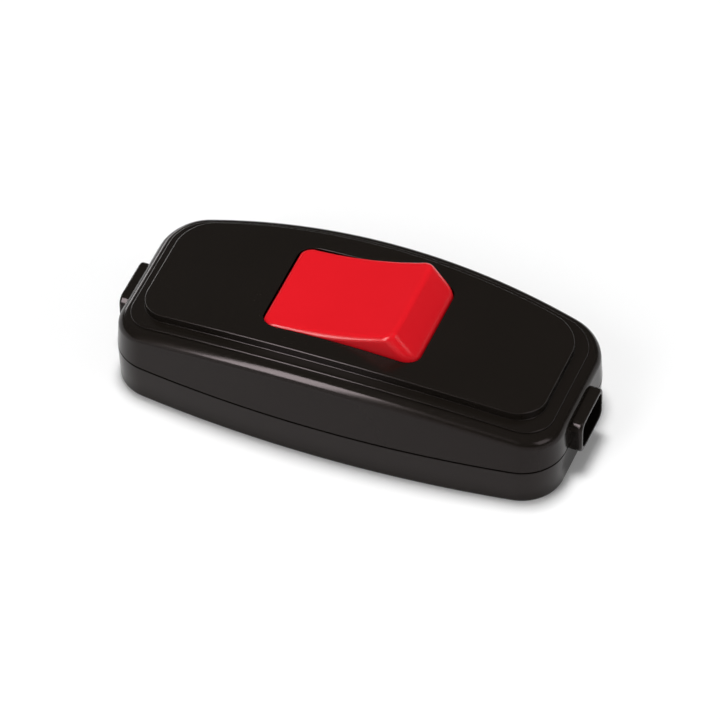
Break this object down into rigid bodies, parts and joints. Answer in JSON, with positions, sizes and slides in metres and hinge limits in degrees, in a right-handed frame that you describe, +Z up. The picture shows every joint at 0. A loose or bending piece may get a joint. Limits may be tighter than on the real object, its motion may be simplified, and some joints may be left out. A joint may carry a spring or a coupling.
{
  "type": "in-line rocker switch",
  "caption": "In-line rocker switch for a lamp lead: arched, stepped two-part case with bowed sides, a cord collar at each end and a dished rocker over sprung contact levers.",
  "frame": {"origin": "middle of the case's underside, where it rests on a table", "axes": "+X along the lead, towards the end whose side of the rocker is raised at rest; +Z up, out of the rocker; +Y across the case"},
  "size_m": [0.0896, 0.0394, 0.0266],
  "materials": {
    "black_plastic": "moulded, semi-gloss",
    "red_plastic": "moulded, glossy",
    "nylon": "moulded, natural",
    "brass": "stamped, bright",
    "steel": "zinc plated",
    "spring_steel": "drawn wire",
    "silver": "contact rivet, bright"
  },
  "bodies": {
    "housing": {"base_shell": "black_plastic", "cover_shell": "black_plastic", "terminal_screws": "steel", "clamp_screws": "steel", "case_screws": "steel", "cord_clamp_left": "nylon", "cord_clamp_right": "nylon", "pivot_terminal_front": "brass", "fixed_terminal_front": "brass", "fixed_contact_front": "silver", "terminal_cage_left_front": "brass", "terminal_cage_right_front": "brass", "pivot_terminal_back": "brass", "fixed_terminal_back": "brass", "fixed_contact_back": "silver", "terminal_cage_left_back": "brass", "terminal_cage_right_back": "brass"},
    "rocker": {"rocker": "red_plastic", "plunger_spring_front": "spring_steel", "plunger_spring_back": "spring_steel"},
    "plunger_front": {"plunger_front": "nylon"},
    "plunger_back": {"plunger_back": "nylon"},
    "lever_front": {"contact_lever_front": "brass", "lever_contact_front": "silver"},
    "lever_back": {"contact_lever_back": "brass", "lever_contact_back": "silver"}
  },
  "joints": [
    {"name": "rocker_hinge", "type": "hinge", "parent": "housing", "child": "rocker", "pos_m": [0, 0, 0.014], "axis": [0, 1, 0], "range_deg": [0, 23]},
    {"name": "plunger_front_slide", "type": "slide", "parent": "rocker", "child": "plunger_front", "axis": [-0.1994, 0, 0.9799], "range_m": [0, 0.0008], "stiffness_N_per_m": 300, "springref_m": -0.003, "deforming": ["plunger_spring_front"]},
    {"name": "plunger_back_slide", "type": "slide", "parent": "rocker", "child": "plunger_back", "axis": [-0.1994, 0, 0.9799], "range_m": [0, 0.0008], "stiffness_N_per_m": 300, "springref_m": -0.003, "deforming": ["plunger_spring_back"]},
    {"name": "lever_front_hinge", "type": "hinge", "parent": "housing", "child": "lever_front", "pos_m": [0, -0.006, 0.0051], "axis": [0, 1, 0], "range_deg": [-13, 0]},
    {"name": "lever_back_hinge", "type": "hinge", "parent": "housing", "child": "lever_back", "pos_m": [0, 0.006, 0.0051], "axis": [0, 1, 0], "range_deg": [-13, 0]}
  ],
  "couplings": [
    {"joint": "lever_front_hinge", "follows": "rocker_hinge", "ratio": -0.5652},
    {"joint": "lever_back_hinge", "follows": "rocker_hinge", "ratio": -0.5652}
  ]
}
